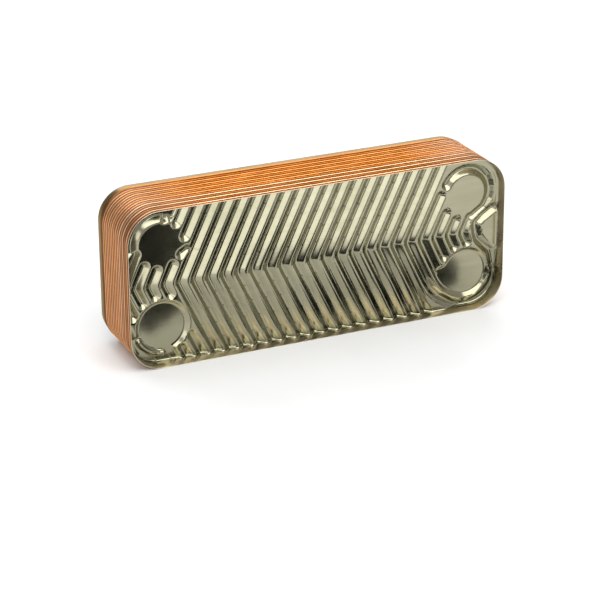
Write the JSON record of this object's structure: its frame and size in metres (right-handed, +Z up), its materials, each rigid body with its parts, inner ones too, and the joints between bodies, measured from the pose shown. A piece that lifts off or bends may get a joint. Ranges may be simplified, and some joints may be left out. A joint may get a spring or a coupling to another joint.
{
  "type": "plate heat exchanger",
  "caption": "Compact brazed plate heat exchanger: nested stamped steel pans with a herringbone face, copper seams, and ports on the back for a boiler's hot water.",
  "frame": {"origin": "centre of the bounding box's bottom face, with the exchanger standing on one long edge", "axes": "+X along the length, +Y from the blank face plate towards the port side, +Z up across the width"},
  "size_m": [0.19, 0.0452, 0.076],
  "materials": {
    "stamped_steel": "bright stamped stainless sheet, mirror-like with a faint grain",
    "channel_steel": "stainless skirts stained by braze copper outside, plain inside",
    "cover_steel": "satin stainless sheet with faint oven tint",
    "braze_copper": "bright and cream to dark orange braze copper",
    "fitting_steel": "turned stainless steel"
  },
  "bodies": {
    "root": {"blank_face_plate": "stamped_steel", "channel_plate_01": "channel_steel", "channel_plate_02": "channel_steel", "channel_plate_03": "channel_steel", "channel_plate_04": "channel_steel", "channel_plate_05": "channel_steel", "channel_plate_06": "channel_steel", "channel_plate_07": "channel_steel", "channel_plate_08": "channel_steel", "channel_plate_09": "channel_steel", "channel_plate_10": "channel_steel", "channel_plate_11": "channel_steel", "channel_plate_12": "channel_steel", "channel_plate_13": "channel_steel", "channel_plate_14": "channel_steel", "port_cover_plate": "cover_steel", "copper_seam_01": "braze_copper", "copper_seam_02": "braze_copper", "copper_seam_03": "braze_copper", "copper_seam_04": "braze_copper", "copper_seam_05": "braze_copper", "copper_seam_06": "braze_copper", "copper_seam_07": "braze_copper", "copper_seam_08": "braze_copper", "copper_seam_09": "braze_copper", "copper_seam_10": "braze_copper", "copper_seam_11": "braze_copper", "copper_seam_12": "braze_copper", "copper_seam_13": "braze_copper", "copper_seam_14": "braze_copper", "copper_seam_15": "braze_copper", "port_ring_left_lower": "fitting_steel", "port_ring_left_upper": "fitting_steel", "port_ring_right_lower": "fitting_steel", "port_ring_right_upper": "fitting_steel", "fixing_bush_left": "fitting_steel", "fixing_bush_right": "fitting_steel"}
  },
  "joints": []
}
